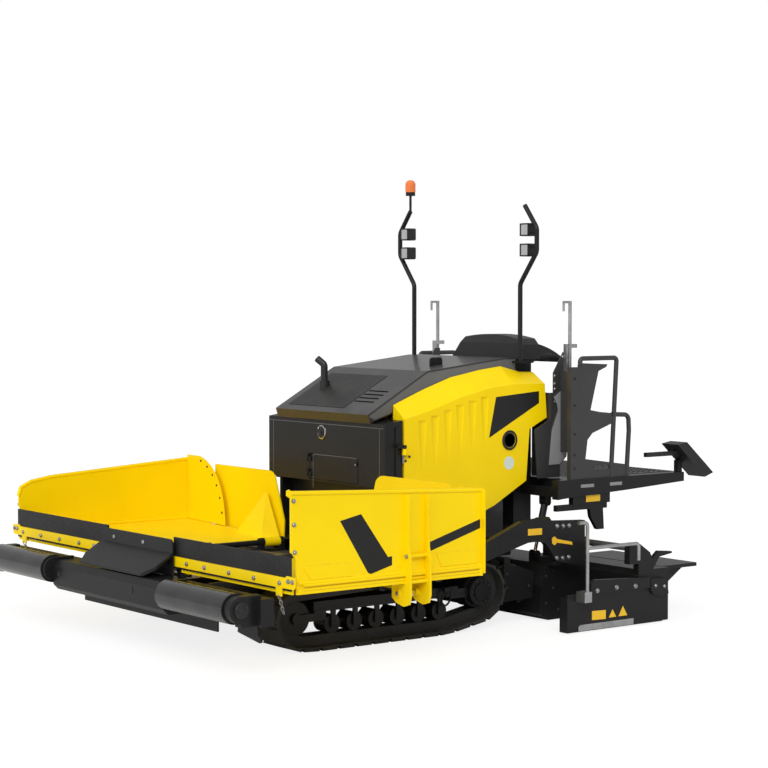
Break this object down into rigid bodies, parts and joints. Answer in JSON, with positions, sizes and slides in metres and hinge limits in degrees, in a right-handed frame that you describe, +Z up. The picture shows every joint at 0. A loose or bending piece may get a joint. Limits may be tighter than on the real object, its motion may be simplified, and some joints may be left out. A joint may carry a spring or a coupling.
{
  "type": "tracked asphalt paver",
  "caption": "Tracked asphalt paver with a folding receiving hopper, push rollers, slat conveyor, augers and a towed floating screed with sliding extensions.",
  "frame": {"origin": "centre of the bounding box's bottom face, on the ground under the tracks", "axes": "+X forwards to the push rollers, +Y to the machine's left, +Z up"},
  "size_m": [4.364, 3.412, 2.976],
  "materials": {
    "yellow_paint": "glossy yellow paint, dusty and lightly scuffed",
    "flap_rubber": "black rubber sheet",
    "track_rubber": "black track pads, dusty",
    "black_paint": "satin black paint",
    "grey_paint": "satin dark grey paint",
    "black_plastic": "grained black plastic",
    "worn_steel": "worn dark steel",
    "chrome": "hard chrome",
    "zinc_steel": "zinc-plated steel",
    "engine_iron": "painted cast iron",
    "orange_lens": "translucent orange dome"
  },
  "bodies": {
    "chassis": {"main_frame": "black_paint", "frame_deck": "black_paint", "hinge_rails": "black_paint", "track_left": "track_rubber", "track_right": "track_rubber", "track_frame_left": "black_paint", "track_frame_right": "black_paint", "conveyor": "worn_steel", "hopper_rear_sheet": "yellow_paint", "centre_apron": "black_paint", "front_box": "black_paint", "hood": "grey_paint", "exhaust_stack": "zinc_steel", "engine": "engine_iron", "rear_housing": "black_paint", "platform": "black_paint", "console": "black_plastic", "light_masts": "black_paint", "work_lamps": "black_plastic", "beacon": "orange_lens", "side_guards": "black_paint", "spindles": "zinc_steel", "remote_console": "black_plastic"},
    "wing_left": {"hopper_wing_left": "yellow_paint", "wing_flap_left": "flap_rubber"},
    "wing_right": {"hopper_wing_right": "yellow_paint", "wing_flap_right": "flap_rubber"},
    "wing_barrel_left": {"wing_barrel_left": "black_paint"},
    "wing_barrel_right": {"wing_barrel_right": "black_paint"},
    "wing_rod_left": {"wing_rod_left": "chrome"},
    "wing_rod_right": {"wing_rod_right": "chrome"},
    "push_bar": {"push_bar": "black_paint"},
    "push_roller_left": {"push_roller_left": "worn_steel"},
    "push_roller_right": {"push_roller_right": "worn_steel"},
    "service_door": {"service_door": "black_paint"},
    "side_door_left": {"side_door_left": "yellow_paint"},
    "side_door_right": {"side_door_right": "yellow_paint"},
    "auger_left": {"auger_left": "worn_steel"},
    "auger_right": {"auger_right": "worn_steel"},
    "screed": {"screed": "black_paint", "tow_arms": "black_paint"},
    "extension_left": {"screed_extension_left": "black_paint", "guide_rod_left": "zinc_steel"},
    "extension_right": {"screed_extension_right": "black_paint", "guide_rod_right": "zinc_steel"},
    "lift_barrels": {"lift_barrels": "black_paint"},
    "lift_rods": {"lift_rods": "chrome"}
  },
  "joints": [
    {"name": "wing_left_fold", "type": "hinge", "parent": "chassis", "child": "wing_left", "pos_m": [1.175, 0.43, 0.5], "axis": [1, 0, 0], "range_deg": [0, 45]},
    {"name": "wing_barrel_left_swing", "type": "hinge", "parent": "chassis", "child": "wing_barrel_left", "pos_m": [1, 0.624, 0.446], "axis": [1, 0, 0], "range_deg": [0, 51.68]},
    {"name": "wing_rod_left_slide", "type": "slide", "parent": "wing_barrel_left", "child": "wing_rod_left", "axis": [0, 0.9998, -0.0186], "range_m": [0, 0.1001]},
    {"name": "wing_right_fold", "type": "hinge", "parent": "chassis", "child": "wing_right", "pos_m": [1.175, -0.43, 0.5], "axis": [-1, 0, 0], "range_deg": [0, 45]},
    {"name": "wing_barrel_right_swing", "type": "hinge", "parent": "chassis", "child": "wing_barrel_right", "pos_m": [1, -0.624, 0.446], "axis": [-1, 0, 0], "range_deg": [0, 51.68]},
    {"name": "wing_rod_right_slide", "type": "slide", "parent": "wing_barrel_right", "child": "wing_rod_right", "axis": [0, -0.9998, -0.0186], "range_m": [0, 0.1001]},
    {"name": "push_bar_swing", "type": "hinge", "parent": "chassis", "child": "push_bar", "pos_m": [1.868, 0, 0.35], "axis": [0, 0, 1], "range_deg": [-3, 3]},
    {"name": "push_roller_left_spin", "type": "hinge", "parent": "push_bar", "child": "push_roller_left", "pos_m": [2.094, 1.063, 0.41], "axis": [0, 1, 0], "continuous": true},
    {"name": "push_roller_right_spin", "type": "hinge", "parent": "push_bar", "child": "push_roller_right", "pos_m": [2.094, -1.063, 0.41], "axis": [0, 1, 0], "continuous": true},
    {"name": "service_door_swing", "type": "hinge", "parent": "chassis", "child": "service_door", "pos_m": [0.477, -0.178, 1.02], "axis": [0, 0, -1], "range_deg": [0, 100]},
    {"name": "side_door_left_swing", "type": "hinge", "parent": "chassis", "child": "side_door_left", "pos_m": [0.331, 0.69, 1.1], "axis": [0, 0, -1], "range_deg": [0, 75]},
    {"name": "auger_left_spin", "type": "hinge", "parent": "chassis", "child": "auger_left", "pos_m": [-0.5, 0.45, 0.262], "axis": [0, 1, 0], "continuous": true},
    {"name": "side_door_right_swing", "type": "hinge", "parent": "chassis", "child": "side_door_right", "pos_m": [0.331, -0.69, 1.1], "axis": [0, 0, 1], "range_deg": [0, 75]},
    {"name": "auger_right_spin", "type": "hinge", "parent": "chassis", "child": "auger_right", "pos_m": [-0.5, -0.45, 0.262], "axis": [0, 1, 0], "continuous": true},
    {"name": "screed_lift", "type": "hinge", "parent": "chassis", "child": "screed", "pos_m": [0.3, 0, 0.42], "axis": [0, 1, 0], "range_deg": [0, 7]},
    {"name": "extension_left_slide", "type": "slide", "parent": "screed", "child": "extension_left", "axis": [0, 1, 0], "range_m": [-0.41, 0.41]},
    {"name": "extension_right_slide", "type": "slide", "parent": "screed", "child": "extension_right", "axis": [0, -1, 0], "range_m": [-0.41, 0.41]},
    {"name": "lift_barrels_swing", "type": "hinge", "parent": "chassis", "child": "lift_barrels", "pos_m": [-0.852, 0, 0.77], "axis": [0, 1, 0], "range_deg": [-10.68, 0]},
    {"name": "lift_rods_slide", "type": "slide", "parent": "lift_barrels", "child": "lift_rods", "axis": [0.2626, 0, -0.9649], "range_m": [-0.1183, 0]}
  ],
  "couplings": [
    {"joint": "wing_barrel_left_swing", "follows": "wing_left_fold", "ratio": 1.1474},
    {"joint": "wing_rod_left_slide", "follows": "wing_left_fold", "m_per_rad": 0.12715},
    {"joint": "wing_barrel_right_swing", "follows": "wing_right_fold", "ratio": 1.1474},
    {"joint": "wing_rod_right_slide", "follows": "wing_right_fold", "m_per_rad": 0.12715},
    {"joint": "lift_barrels_swing", "follows": "screed_lift", "ratio": -1.5224},
    {"joint": "lift_rods_slide", "follows": "screed_lift", "m_per_rad": -0.96663}
  ]
}
